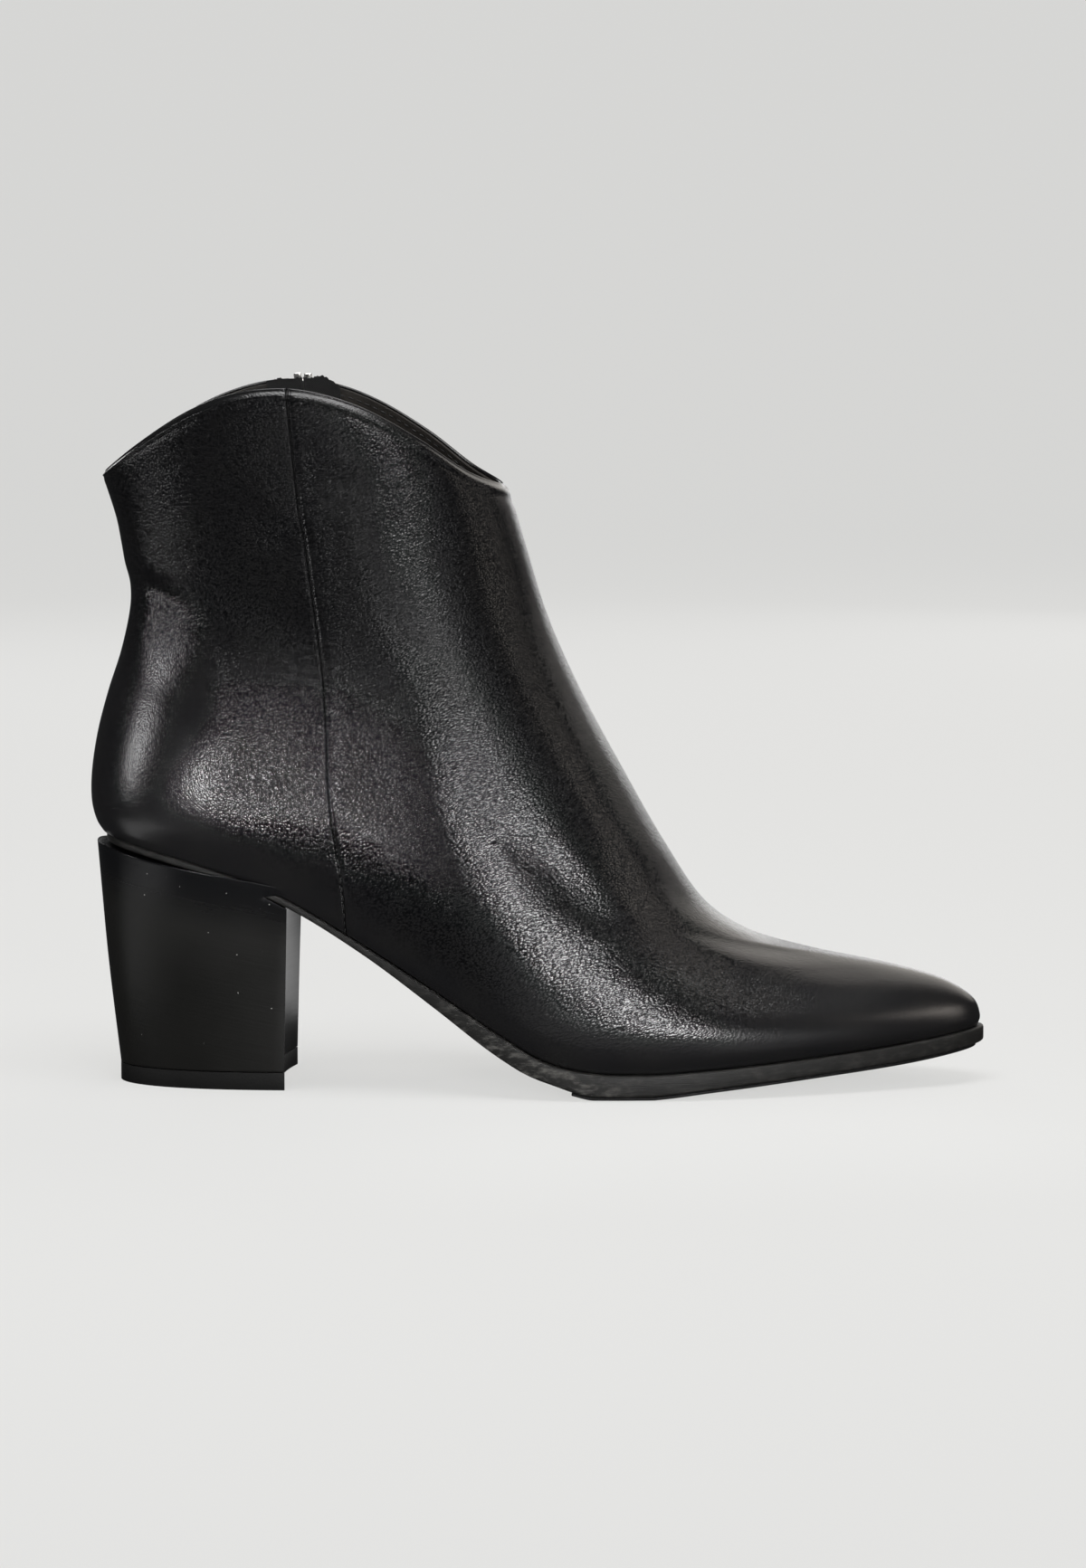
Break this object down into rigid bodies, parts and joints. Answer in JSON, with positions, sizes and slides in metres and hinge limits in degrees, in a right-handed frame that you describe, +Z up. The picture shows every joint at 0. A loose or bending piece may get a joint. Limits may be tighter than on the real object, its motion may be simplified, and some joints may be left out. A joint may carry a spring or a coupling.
{
  "type": "western ankle boot",
  "caption": "Black leather ankle boot with a pointed toe, scalloped collar, side seam, inner zip and a block heel, shown as the right boot.",
  "frame": {"origin": "centre of the boot's box, on the floor that it stands on", "axes": "+X to the toe, +Y to the inner side of the foot with the zip, +Z up"},
  "size_m": [0.2564, 0.0834, 0.2031],
  "materials": {
    "black_leather": "semi-gloss black with a fine pebble grain",
    "sole_leather": "matte charcoal edge, lightly scuffed",
    "heel_stack": "satin black over stacked layers",
    "black_rubber": "matte",
    "insole_leather": "matte dark brown",
    "zip_tape": "woven black",
    "zip_metal": "plated, slightly dulled"
  },
  "bodies": {
    "boot": {"outsole": "sole_leather", "forepart_tread": "black_rubber", "insole": "insole_leather", "heel_top_piece": "black_rubber", "heel_block": "heel_stack", "upper": "black_leather", "zip_tape_back": "zip_tape", "zip_tape_front": "zip_tape", "zip_chain": "zip_metal", "zip_slider": "zip_metal"},
    "pull_tab": {"zip_pull": "zip_metal"}
  },
  "joints": [
    {"name": "pull_swing", "type": "hinge", "parent": "boot", "child": "pull_tab", "pos_m": [-0.06871, 0.03442, 0.19556], "axis": [0.9954, -0.0196, 0.0942], "range_deg": [0, 165]}
  ]
}
